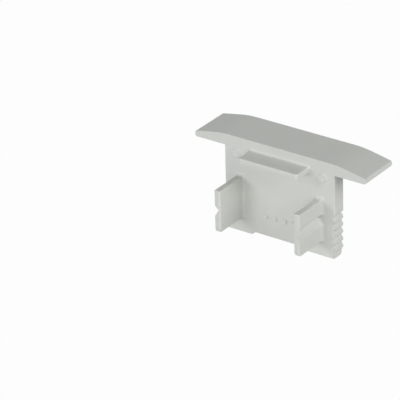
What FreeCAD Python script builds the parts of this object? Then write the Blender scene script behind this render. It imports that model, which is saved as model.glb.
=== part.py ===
"""Snap-in end cap for a recessed aluminium profile, moulded in one piece.

Millimetres, +Z up. +X runs along the flange. The mating face lies in the plane y = 0 and
looks along -Y: the prongs and the tab stand on it, and the plate and the flange's overhang
are behind it. The origin is the centre of the mating face.
"""
import FreeCAD, Part
import math
import os

# Flange: the crowned bar on top, with a sloped wing at each end
flange_length = 24.0
flange_depth = 5.78
flange_crown_height = 1.46
flange_end_height = 0.7
wing_length = 3.86
crown_blend_radius = 12.0
end_nose_radius = 0.28
outer_edge_radius = 0.2
inner_corner_radius = 0.06

# Plate: the wall that closes the end of the profile
plate_width = 15.44
plate_height = 10.94
plate_thickness = 2.03
outer_side_radius = 0.3
inner_side_radius = 0.1

# Teeth down both sides of the plate, which bite into the sides of the slot
tooth_count = 5
tooth_pitch = 0.965
tooth_depth = 0.42
first_valley_height = 0.42
tooth_round = 0.1
bottom_corner_radius = 0.05
top_valley_blend = 0.3
corner_cut_depth = 0.36
corner_cut_run = 0.9

# Shallow relief in the middle of the plate's bottom edge
relief_width = 7.5
relief_depth = 0.4
relief_ramp = 0.5
relief_round = 0.2

# Two prongs that snap between the profile's inner ribs
prong_inset = 1.74
prong_thickness = 0.82
prong_reach = 4.82
prong_height = 5.48
prong_rise = 1.93
prong_heel_radius = 0.4
prong_inner_radius = 0.24
prong_outer_radius = 0.15
prong_top_radius = 0.1
prong_root_fillet = 0.4
groove_drop = 1.9
groove_upper_height = 0.62
groove_lower_height = 0.92
groove_depth = 0.6

# Tab: a thin shelf under the crown, which lies on the profile's cover
tab_width = 8.33
tab_reach = 2.49
tab_thickness = 0.65
tab_above_shoulder = 0.18
tab_corner_radius = 0.35
tab_nose_radius = 0.22
tab_root_fillet = 0.3

# Low round pips that the mould leaves on the mating face
pip_height = 0.13
pip_bevel = 0.12
pin_mark_diameter = 1.3
pin_mark_dish = 0.5
pin_mark_inset = 1.65
pin_mark_drop = 0.7
cavity_dot_count = 4
cavity_dot_diameter = 0.8
cavity_dot_pitch = 1.35
cavity_dot_rise = 3.0

# Sizes and levels that follow from those above
prong_spread = plate_width - 2 * prong_inset
bottom = -(plate_height + flange_crown_height) / 2
shoulder = bottom + plate_height
flange_end_top = shoulder + flange_end_height
crown = shoulder + flange_crown_height
prong_bottom = bottom + prong_rise
prong_top = prong_bottom + prong_height
tab_top = shoulder + tab_above_shoulder
tab_bottom = tab_top - tab_thickness

match_tolerance = 1e-5


def between(value, low, high):
    """True where the value is in the range, limits included."""
    return low - match_tolerance <= value <= high + match_tolerance


def same(value, wanted):
    """True where two lengths agree."""
    return between(value, wanted, wanted)


def fillet_where(shape, radius, test):
    """Shape with a fillet on each edge whose middle point passes the test."""
    middles = [(e, e.valueAt((e.FirstParameter + e.LastParameter) / 2)) for e in shape.Edges]
    return shape.makeFillet(radius, [e for e, middle in middles if test(middle)])


def corner_arc(before, corner, after, radius):
    """Start, middle and end of the arc that rounds one corner of an outline."""
    if radius == 0:
        return corner, None, corner
    back = (before - corner).normalize()
    ahead = (after - corner).normalize()
    half_angle = back.getAngle(ahead) / 2
    run = radius / math.tan(half_angle)
    depth = radius / math.sin(half_angle) - radius
    return corner + back * run, corner + (back + ahead).normalize() * depth, corner + ahead * run


def rounded_face(corners):
    """Face in the plane y = 0 from (x, z, radius) corners, each rounded by its radius."""
    points = [FreeCAD.Vector(x, 0, z) for x, z, radius in corners]
    following = points[1:] + points[:1]
    radii = [radius for x, z, radius in corners]
    arcs = [corner_arc(points[i - 1], points[i], following[i], radii[i]) for i in range(len(points))]
    edges = []
    for i, (start, middle, end) in enumerate(arcs):
        edges.append(Part.LineSegment(arcs[i - 1][2], start).toShape())
        if middle is not None:
            edges.append(Part.Arc(start, middle, end).toShape())
    return Part.Face(Part.Wire(edges))


def symmetric_face(right_half):
    """Face from the right half of its outline, listed from the bottom up."""
    left_half = [(-x, z, radius) for x, z, radius in reversed(right_half)]
    return rounded_face(right_half + left_half)


def make_block(width, depth, low, high, inner_radius, outer_radius):
    """Block behind the mating face, with its upright edges rounded at its inner and outer side."""
    block = Part.makeBox(width, depth, high - low, FreeCAD.Vector(-width / 2, 0, low))
    middle = (low + high) / 2
    block = fillet_where(block, inner_radius, lambda p: same(p.z, middle) and same(p.y, 0))
    return fillet_where(block, outer_radius, lambda p: same(p.z, middle) and same(p.y, depth))


def make_flange():
    """Bar with a flat crown and sloped wings that end in a nose, rounded round its outer side."""
    end = flange_length / 2
    profile = symmetric_face([
        (end, shoulder, end_nose_radius),
        (end, flange_end_top, end_nose_radius),
        (end - wing_length, crown, crown_blend_radius),
    ])
    bar = profile.extrude(FreeCAD.Vector(0, flange_depth, 0))
    bar = fillet_where(bar, outer_edge_radius, lambda p: same(p.y, flange_depth))
    block = make_block(flange_length, flange_depth, shoulder, crown, inner_corner_radius, inner_corner_radius)
    return bar.common(block)


def tooth_corners():
    """Right side of the plate, from its bottom corner to the top of the teeth."""
    tip = plate_width / 2
    root = tip - tooth_depth
    corners = [(tip, bottom, bottom_corner_radius)]
    for i in range(tooth_count + 1):
        valley = bottom + first_valley_height + i * tooth_pitch
        crest_round = tooth_round if i < tooth_count else top_valley_blend
        corners.append((root, valley, tooth_round))
        corners.append((tip, valley + tooth_pitch / 2, crest_round))
    return corners


def make_corner_cut(side):
    """Wedge that takes the plate's bottom corner down to the tooth valleys at its outer side."""
    tip = plate_width / 2
    start = plate_thickness - corner_cut_run
    end = plate_thickness + corner_cut_run
    x_and_y = [
        (tip + corner_cut_depth, start - corner_cut_run),
        (tip + corner_cut_depth, end),
        (tip - 2 * corner_cut_depth, end),
        (tip + corner_cut_depth, start - corner_cut_run),
    ]
    foot = Part.makePolygon([FreeCAD.Vector(side * x, y, bottom - first_valley_height) for x, y in x_and_y])
    return Part.Face(foot).extrude(FreeCAD.Vector(0, 0, 2 * first_valley_height))


def make_plate():
    """Wall with toothed sides and a relief in its bottom edge, let into the flange at its top."""
    relief_corners = [
        ((relief_width - relief_ramp) / 2, bottom + relief_depth, relief_round),
        ((relief_width + relief_ramp) / 2, bottom, relief_round),
    ]
    top_corner = (plate_width / 2, flange_end_top, 0)
    outline = symmetric_face(relief_corners + tooth_corners() + [top_corner])
    wall = outline.extrude(FreeCAD.Vector(0, plate_thickness, 0))
    block = make_block(plate_width, plate_thickness, bottom, flange_end_top, inner_side_radius, outer_side_radius)
    return wall.common(block).cut([make_corner_cut(1), make_corner_cut(-1)])


def make_prong():
    """Right prong: a bar with a rounded free end and a V groove along its outer side."""
    outer = prong_spread / 2
    inner = outer - prong_thickness
    front = -prong_reach
    length = prong_reach + plate_thickness / 2
    bar = Part.makeBox(prong_thickness, length, prong_height, FreeCAD.Vector(inner, front, prong_bottom))
    bar = fillet_where(bar, prong_heel_radius, lambda p: same(p.y, front) and same(p.z, prong_bottom))
    bar = fillet_where(bar, prong_inner_radius, lambda p: same(p.x, inner) and same(p.z, prong_bottom))
    bar = fillet_where(bar, prong_outer_radius, lambda p: same(p.x, outer) and same(p.z, prong_bottom))
    bar = fillet_where(bar, prong_top_radius, lambda p: same(p.z, prong_top) and same(p.y, front))
    groove_top = prong_top - groove_drop
    groove = rounded_face([
        (outer - groove_depth, groove_top - groove_upper_height, 0),
        (outer, groove_top - groove_upper_height - groove_lower_height, 0),
        (outer + groove_depth, groove_top - groove_upper_height - groove_lower_height, 0),
        (outer + groove_depth, groove_top + groove_upper_height, 0),
    ])
    groove.translate(FreeCAD.Vector(0, front, 0))
    return bar.cut(groove.extrude(FreeCAD.Vector(0, length, 0)))


def make_tab():
    """Shelf with rounded front corners and a rounded rim, let into the plate at its back."""
    side = tab_width / 2
    depth = tab_reach + plate_thickness / 2
    front = -tab_reach
    shelf = Part.makeBox(tab_width, depth, tab_thickness, FreeCAD.Vector(-side, front, tab_bottom))
    shelf = fillet_where(shelf, tab_corner_radius, lambda p: same(abs(p.x), side) and same(p.y, front))
    back = plate_thickness / 2
    return fillet_where(shelf, tab_nose_radius, lambda p: same(p.z, tab_top) and not same(p.y, back))


def make_pip(x, z, diameter):
    """Low round pip with a bevelled edge, on the mating face."""
    foot = FreeCAD.Vector(x, 0, z)
    out = FreeCAD.Vector(0, -1, 0)
    return Part.makeCone(diameter / 2, diameter / 2 - pip_bevel, pip_height, foot, out)


def make_pin_mark(x, z):
    """Pip with a dish in its middle."""
    tip = FreeCAD.Vector(x, -pip_height / 2, z)
    dish = Part.makeCone(0, pin_mark_dish, pip_height, tip, FreeCAD.Vector(0, -1, 0))
    return make_pip(x, z, pin_mark_diameter).cut(dish)


def make_pips():
    """An ejector pin mark at each side of the tab, and a row of cavity dots."""
    pin_x = plate_width / 2 - pin_mark_inset
    pin_marks = [make_pin_mark(x, shoulder - pin_mark_drop) for x in (-pin_x, pin_x)]
    first_dot = -cavity_dot_pitch * (cavity_dot_count - 1) / 2
    dots = [make_pip(first_dot + i * cavity_dot_pitch, bottom + cavity_dot_rise, cavity_dot_diameter)
            for i in range(cavity_dot_count)]
    return pin_marks + dots


def is_prong_root(p):
    """True for the edges where the prongs leave the mating face."""
    outer = prong_spread / 2
    across = between(abs(p.x), outer - prong_thickness, outer)
    return same(p.y, 0) and across and between(p.z, prong_bottom, prong_top)


def is_tab_root(p):
    """True for the edges where the tab leaves the mating face."""
    return same(p.y, 0) and between(abs(p.x), 0, tab_width / 2) and between(p.z, tab_bottom, tab_top)


def make_end_cap():
    """The whole moulding as one solid."""
    right_prong = make_prong()
    left_prong = right_prong.mirror(FreeCAD.Vector(0, 0, 0), FreeCAD.Vector(1, 0, 0))
    cap = make_plate().fuse([make_flange(), right_prong, left_prong, make_tab()]).removeSplitter()
    cap = fillet_where(cap, prong_root_fillet, is_prong_root)
    cap = fillet_where(cap, tab_root_fillet, is_tab_root)
    return cap.fuse(make_pips()).removeSplitter()


if __name__ == "__main__":
    os.makedirs("parts", exist_ok=True)
    make_end_cap().exportStep("parts/end_cap.step")
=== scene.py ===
"""Dresses a moulded profile end cap and sets it on a pale floor under soft light."""
import math

import bpy
from bpy.props import FloatProperty, FloatVectorProperty, PointerProperty
from bpy.types import Operator, Panel, PropertyGroup
from mathutils import Matrix, Vector


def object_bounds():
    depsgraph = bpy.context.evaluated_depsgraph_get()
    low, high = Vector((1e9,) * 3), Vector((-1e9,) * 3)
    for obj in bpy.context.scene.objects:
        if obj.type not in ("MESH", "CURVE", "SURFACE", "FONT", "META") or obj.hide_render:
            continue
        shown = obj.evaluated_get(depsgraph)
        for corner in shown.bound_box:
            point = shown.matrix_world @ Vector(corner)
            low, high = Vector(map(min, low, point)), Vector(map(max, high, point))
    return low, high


bl_info = {
    "name": "Profile end cap",
    "version": (1, 0, 0),
    "blender": (4, 5, 0),
    "location": "3D View > Sidebar > End cap",
    "description": "Finishes a moulded end cap for an aluminium profile and lights it",
    "category": "Object",
}

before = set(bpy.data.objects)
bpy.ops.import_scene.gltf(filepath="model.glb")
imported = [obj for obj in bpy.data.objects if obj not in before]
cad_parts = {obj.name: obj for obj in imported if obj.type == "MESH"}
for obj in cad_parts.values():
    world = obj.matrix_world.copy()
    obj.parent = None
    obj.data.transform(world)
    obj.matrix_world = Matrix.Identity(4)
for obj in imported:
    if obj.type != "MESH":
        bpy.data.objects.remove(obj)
cad_low, cad_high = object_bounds()

WHITE = (1.0, 1.0, 1.0, 1.0)

# The floor lies this far below the plate, so that the two don't share a plane
FLOOR_GAP = 0.00001
FLOOR_HALF_WIDTH = 3.0
# Share of the floor's look that is plain white; the rest is paint, which takes the shadow
FLOOR_WHITENESS = 0.97

LAMP_DISTANCE = 0.5

# Features a metre in the plastic's colour
DRIFTS_PER_METRE = 250.0
CLOUDS_PER_METRE = 1400.0
# How far the clouds and the grain each move the roughness, and where they move it from
ROUGHNESS_SWING = 0.08
ROUGHNESS_DROP = 0.06

# The Mix node's colour sockets share their names with others, so they go by number
FIRST_COLOUR = 6
SECOND_COLOUR = 7
MIXED_COLOUR = 2

# Where the picture shows the middle of the mating face, in its own pixels
PICTURE_SIDE = 400
MATING_FACE_PIXEL = (279.5, 196.1)


class Value:
    """A number that varies over a surface; arithmetic on it adds Math nodes."""

    def __init__(self, shader, socket):
        self.shader = shader
        self.socket = socket

    def _math(self, operation, first, second):
        return self.shader.add("ShaderNodeMath", {"operation": operation}, {0: first, 1: second})[0]

    def __add__(self, other):
        return self._math("ADD", self, other)

    def __radd__(self, other):
        return self._math("ADD", other, self)

    def __sub__(self, other):
        return self._math("SUBTRACT", self, other)

    def __rsub__(self, other):
        return self._math("SUBTRACT", other, self)

    def __mul__(self, other):
        return self._math("MULTIPLY", self, other)

    def __rmul__(self, other):
        return self._math("MULTIPLY", other, self)


class Outputs:
    """A node's output sockets, by number or name."""

    def __init__(self, shader, node):
        self.shader = shader
        self.node = node

    def __getitem__(self, key):
        return Value(self.shader, self.node.outputs[key])


class Shader:
    """The node tree of a new material or of the world."""

    def __init__(self, owner):
        owner.use_nodes = True
        self.tree = owner.node_tree
        self.tree.nodes.clear()

    def add(self, kind, settings=None, inputs=None):
        """One node of that kind, with its settings first and then its sockets' values or links."""
        node = self.tree.nodes.new(kind)
        for name, value in (settings or {}).items():
            setattr(node, name, value)
        for key, value in (inputs or {}).items():
            if isinstance(value, Value):
                self.tree.links.new(value.socket, node.inputs[key])
            else:
                node.inputs[key].default_value = value
        return Outputs(self, node)

    def noise(self, place, scale, detail):
        """Soft noise from 0 to 1 with that many features a metre."""
        settings = {"noise_dimensions": "3D"}
        inputs = {"Vector": place, "Scale": scale, "Detail": detail, "Roughness": 0.5}
        return self.add("ShaderNodeTexNoise", settings, inputs)["Fac"]

    def seen(self):
        """1 where the camera sees it, straight or in a reflection, and 0 where it only gives light."""
        path = self.add("ShaderNodeLightPath")
        return path["Is Camera Ray"] + path["Is Glossy Ray"] + path["Is Transmission Ray"]

    def mix(self, factor, first, second):
        """One colour turned into another by a factor."""
        inputs = {"Factor": factor, FIRST_COLOUR: first, SECOND_COLOUR: second}
        return self.add("ShaderNodeMix", {"data_type": "RGBA"}, inputs)[MIXED_COLOUR]


class MouldingSettings(PropertyGroup):
    """Finish of the moulding."""

    colour: FloatVectorProperty(
        name="Colour",
        description="Colour of the plastic",
        subtype="COLOR",
        size=3,
        min=0.0,
        max=1.0,
        default=(0.620, 0.635, 0.600),
    )
    mottle: FloatProperty(
        name="Mottle",
        description="How far the colour drifts over the moulding",
        subtype="FACTOR",
        min=0.0,
        max=1.0,
        default=0.06,
    )
    roughness: FloatProperty(
        name="Roughness",
        description="Roughness of the satin surface",
        subtype="FACTOR",
        min=0.0,
        max=1.0,
        default=0.34,
    )
    grain_size: FloatProperty(
        name="Grain size",
        description="Width of one grain that the mould leaves in the surface",
        unit="LENGTH",
        min=0.00001,
        default=0.00009,
    )
    grain_depth: FloatProperty(
        name="Grain depth",
        description="Depth of the grain",
        unit="LENGTH",
        min=0.0,
        default=0.000003,
    )


class StageSettings(PropertyGroup):
    """Camera, light and floor."""

    azimuth: FloatProperty(
        name="Azimuth",
        description="Turn of the camera round the end cap",
        unit="ROTATION",
        default=math.radians(35.98),
    )
    elevation: FloatProperty(
        name="Elevation",
        description="Height of the camera above the horizon",
        unit="ROTATION",
        default=math.radians(27.29),
    )
    roll: FloatProperty(
        name="Roll",
        description="Turn of the camera about its own axis",
        unit="ROTATION",
        default=math.radians(-1.58),
    )
    distance: FloatProperty(
        name="Distance",
        description="From the camera to the middle of the mating face",
        unit="LENGTH",
        default=0.3523,
    )
    focal_pixels: FloatProperty(
        name="Focal length",
        description="Focal length of the camera in picture pixels",
        default=3000.0,
    )
    daylight: FloatProperty(
        name="Daylight",
        description="Strength of the even light from all sides",
        min=0.0,
        default=0.16,
    )
    front_light: FloatProperty(
        name="Front light",
        description="Light of the wide low lamp in front, as a share of full daylight",
        min=0.0,
        default=0.59,
    )
    side_light: FloatProperty(
        name="Side light",
        description="Light of the large lamp at the side, as a share of full daylight",
        min=0.0,
        default=0.62,
    )
    back_light: FloatProperty(
        name="Back light",
        description="Light of the low lamp behind, as a share of full daylight",
        min=0.0,
        default=0.35,
    )
    sparkle_light: FloatProperty(
        name="Sparkle",
        description="Light of the small lamp that draws the rounded edges, as a share of full daylight",
        min=0.0,
        default=0.08,
    )
    floor_colour: FloatVectorProperty(
        name="Floor",
        description="Colour of the floor",
        subtype="COLOR",
        size=3,
        min=0.0,
        max=1.0,
        default=(0.68, 0.68, 0.68),
    )


class EndCapSettings(PropertyGroup):
    """All that a user may change."""

    moulding: PointerProperty(type=MouldingSettings)
    stage: PointerProperty(type=StageSettings)


def make_plastic(settings):
    """Satin grey plastic with the fine grain of the mould."""
    material = bpy.data.materials.new("satin grey plastic")
    shader = Shader(material)
    place = shader.add("ShaderNodeTexCoord")["Object"]

    drift = shader.noise(place, DRIFTS_PER_METRE, 3.0)
    cloud = shader.noise(place, CLOUDS_PER_METRE, 2.0)
    grain = shader.noise(place, 0.5 / settings.grain_size, 2.0)

    colour = Vector(settings.colour)
    dark = (*(colour * (1.0 - settings.mottle)), 1.0)
    light = (*(colour * (1.0 + settings.mottle)), 1.0)
    base = shader.mix(drift * 0.5 + cloud * 0.25 + grain * 0.25, dark, light)
    roughness = settings.roughness - ROUGHNESS_DROP + ROUGHNESS_SWING * cloud + ROUGHNESS_SWING * grain

    bump_inputs = {"Height": grain, "Distance": settings.grain_depth, "Strength": 1.0}
    bump = shader.add("ShaderNodeBump", None, bump_inputs)["Normal"]
    surface = {"Base Color": base, "Roughness": roughness, "Normal": bump}
    gloss = {"IOR": 1.5, "Specular IOR Level": 0.25}
    plastic = shader.add("ShaderNodeBsdfPrincipled", None, {**surface, **gloss})["BSDF"]
    shader.add("ShaderNodeOutputMaterial", None, {"Surface": plastic})
    return material


class OBJECT_OT_dress_moulding(Operator):
    """Gives the moulding its satin grey plastic"""

    bl_idname = "object.end_cap_dress_moulding"
    bl_label = "Dress moulding"

    def execute(self, context):
        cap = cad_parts["end_cap"]
        cap.data.materials.clear()
        cap.data.materials.append(make_plastic(context.scene.end_cap.moulding))
        return {"FINISHED"}


def make_floor(colour):
    """Wide pale floor under the plate's bottom edge."""
    half = FLOOR_HALF_WIDTH
    level = cad_low.z - FLOOR_GAP
    mesh = bpy.data.meshes.new("floor")
    corners = [(-half, -half, level), (half, -half, level), (half, half, level), (-half, half, level)]
    mesh.from_pydata(corners, [], [(0, 1, 2, 3)])
    floor = bpy.data.objects.new("floor", mesh)
    bpy.context.scene.collection.objects.link(floor)

    material = bpy.data.materials.new("pale floor")
    shader = Shader(material)
    paint = shader.add("ShaderNodeBsdfDiffuse", None, {"Color": (*colour, 1.0)})["BSDF"]
    glow = shader.add("ShaderNodeEmission", None, {"Color": WHITE, "Strength": 1.0})["Emission"]
    whiteness = shader.seen() * FLOOR_WHITENESS
    surface = shader.add("ShaderNodeMixShader", None, {0: whiteness, 1: paint, 2: glow})["Shader"]
    shader.add("ShaderNodeOutputMaterial", None, {"Surface": surface})
    mesh.materials.append(material)


def make_world(strength):
    """Even daylight, white where the camera sees it."""
    world = bpy.data.worlds.new("daylight")
    bpy.context.scene.world = world
    shader = Shader(world)
    seen = shader.seen()
    level = seen + (1 - seen) * strength
    sky = shader.add("ShaderNodeBackground", None, {"Color": WHITE, "Strength": level})["Background"]
    shader.add("ShaderNodeOutputWorld", None, {"Surface": sky})


def direction(azimuth, elevation):
    """Unit vector from the end cap towards a place round it; azimuth 0 is in front of the mating face."""
    across = math.cos(elevation)
    return Vector((math.sin(azimuth) * across, -math.cos(azimuth) * across, math.sin(elevation)))


def make_lamp(name, azimuth, elevation, width, height, light):
    """Lamp that faces the end cap, placed in degrees; its light is a share of full daylight."""
    data = bpy.data.lights.new(name, "AREA")
    data.shape = "RECTANGLE"
    data.size = width
    data.size_y = height
    data.energy = light * math.pi * math.pi * LAMP_DISTANCE * LAMP_DISTANCE
    lamp = bpy.data.objects.new(name, data)
    back = direction(math.radians(azimuth), math.radians(elevation))
    turn = back.to_track_quat("Z", "Y").to_matrix()
    lamp.matrix_world = Matrix.Translation(back * LAMP_DISTANCE) @ turn.to_4x4()
    bpy.context.scene.collection.objects.link(lamp)
    return lamp


def make_camera(settings):
    """Camera that sees the mating face's middle at its own place in the picture."""
    data = bpy.data.cameras.new("camera")
    data.sensor_width = 36.0
    data.lens = data.sensor_width * settings.focal_pixels / PICTURE_SIDE
    data.clip_start = 0.01
    camera = bpy.data.objects.new("camera", data)
    back = direction(settings.azimuth, settings.elevation)
    turn = back.to_track_quat("Z", "Y").to_matrix() @ Matrix.Rotation(settings.roll, 3, "Z")
    right, up, back = turn.col
    across = (MATING_FACE_PIXEL[0] - PICTURE_SIDE / 2) / settings.focal_pixels
    above = (PICTURE_SIDE / 2 - MATING_FACE_PIXEL[1]) / settings.focal_pixels
    place = (back - right * across - up * above) * settings.distance
    camera.matrix_world = Matrix.Translation(place) @ turn.to_4x4()
    bpy.context.scene.collection.objects.link(camera)
    bpy.context.scene.camera = camera


class SCENE_OT_set_stage(Operator):
    """Makes the floor, the light and the camera"""

    bl_idname = "scene.end_cap_set_stage"
    bl_label = "Set stage"

    def execute(self, context):
        settings = context.scene.end_cap.stage
        make_floor(settings.floor_colour)
        make_world(settings.daylight)
        make_lamp(
            "front lamp",
            azimuth=-3, elevation=10, width=0.44, height=0.17, light=settings.front_light,
        )
        make_lamp(
            "side lamp",
            azimuth=84, elevation=30, width=0.30, height=0.30, light=settings.side_light,
        )
        fill = make_lamp(
            "back lamp",
            azimuth=185, elevation=6, width=0.36, height=0.16, light=settings.back_light,
        )
        # Its mirror image would glare on the crown, seen from low in front
        fill.visible_glossy = False
        make_lamp(
            "small lamp",
            azimuth=-38, elevation=28, width=0.06, height=0.06, light=settings.sparkle_light,
        )
        make_camera(settings)
        context.scene.view_settings.view_transform = "Standard"
        return {"FINISHED"}


class VIEW3D_PT_end_cap(Panel):
    """Sidebar panel of the end cap"""

    bl_idname = "VIEW3D_PT_end_cap"
    bl_label = "Profile end cap"
    bl_space_type = "VIEW_3D"
    bl_region_type = "UI"
    bl_category = "End cap"

    def draw(self, context):
        settings = context.scene.end_cap
        for group, operator in (
            (settings.moulding, OBJECT_OT_dress_moulding),
            (settings.stage, SCENE_OT_set_stage),
        ):
            box = self.layout.box()
            for name in group.__annotations__:
                box.prop(group, name)
            box.operator(operator.bl_idname)


CLASSES = (
    MouldingSettings,
    StageSettings,
    EndCapSettings,
    OBJECT_OT_dress_moulding,
    SCENE_OT_set_stage,
    VIEW3D_PT_end_cap,
)


def register():
    for cls in CLASSES:
        bpy.utils.register_class(cls)
    bpy.types.Scene.end_cap = PointerProperty(type=EndCapSettings)


def unregister():
    del bpy.types.Scene.end_cap
    for cls in reversed(CLASSES):
        bpy.utils.unregister_class(cls)


def main():
    register()
    bpy.ops.object.end_cap_dress_moulding()
    bpy.ops.scene.end_cap_set_stage()


if __name__ == "__main__":
    main()
